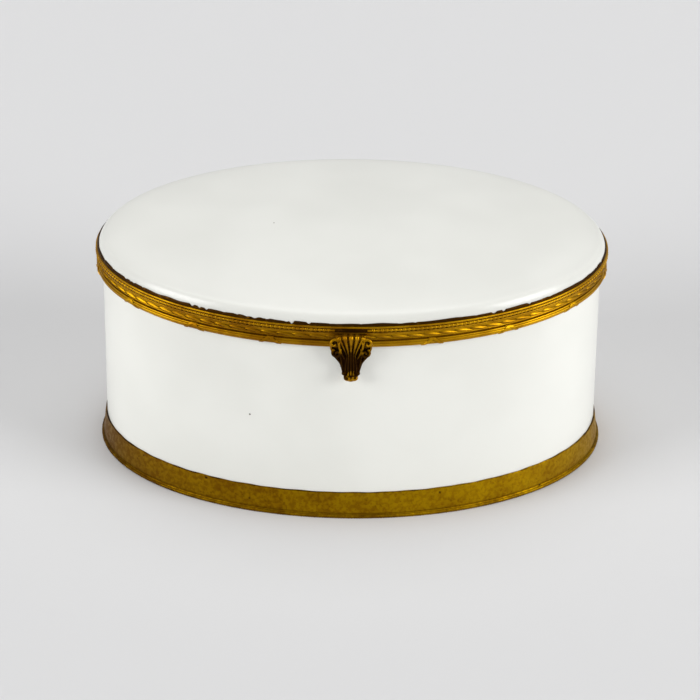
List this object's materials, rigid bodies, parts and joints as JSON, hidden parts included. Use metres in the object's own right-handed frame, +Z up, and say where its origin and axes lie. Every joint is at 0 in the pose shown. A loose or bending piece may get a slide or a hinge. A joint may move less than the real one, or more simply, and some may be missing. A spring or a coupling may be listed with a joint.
{
  "type": "vanity trinket box",
  "caption": "Oval white porcelain trinket box with gilt brass rims and base band, a domed porcelain lid on a rear hinge and a leaf-shaped thumb piece.",
  "frame": {"origin": "centre of the oval on the surface that the box stands on", "axes": "+Z up, +X along the length of the oval, the front with the thumb piece faces -Y, the hinge is at +Y"},
  "size_m": [0.1854, 0.1302, 0.0874],
  "materials": {
    "white_porcelain": "white satin glaze",
    "bedding_plaster": "matte plaster",
    "band_brass": "aged, mottled and lightly pitted",
    "rim_brass": "plain gilt, softly worn",
    "gilt_brass": "gilt, chased, dark in the hollows",
    "dark_bezel": "blackened, rubbed bright on its outer corner"
  },
  "bodies": {
    "box": {"porcelain_body": "white_porcelain", "base_bedding": "bedding_plaster", "base_band": "band_brass", "base_lip_wire": "band_brass", "rim_bedding": "bedding_plaster", "rim_collar": "rim_brass", "reeded_moulding": "gilt_brass", "hinge_leaf_lower": "rim_brass", "hinge_pin": "rim_brass"},
    "lid": {"lid_frame": "rim_brass", "lid_flange": "rim_brass", "lid_bedding": "bedding_plaster", "lid_panel": "white_porcelain", "lid_bezel": "dark_bezel", "leaf_border": "gilt_brass", "bead_wire": "gilt_brass", "lid_fillet_wire": "gilt_brass", "thumb_piece": "gilt_brass", "hinge_leaf_upper": "rim_brass"}
  },
  "joints": [
    {"name": "lid_hinge", "type": "hinge", "parent": "box", "child": "lid", "pos_m": [0, 0.0636, 0.07345], "axis": [-1, 0, 0], "range_deg": [0, 100]}
  ]
}
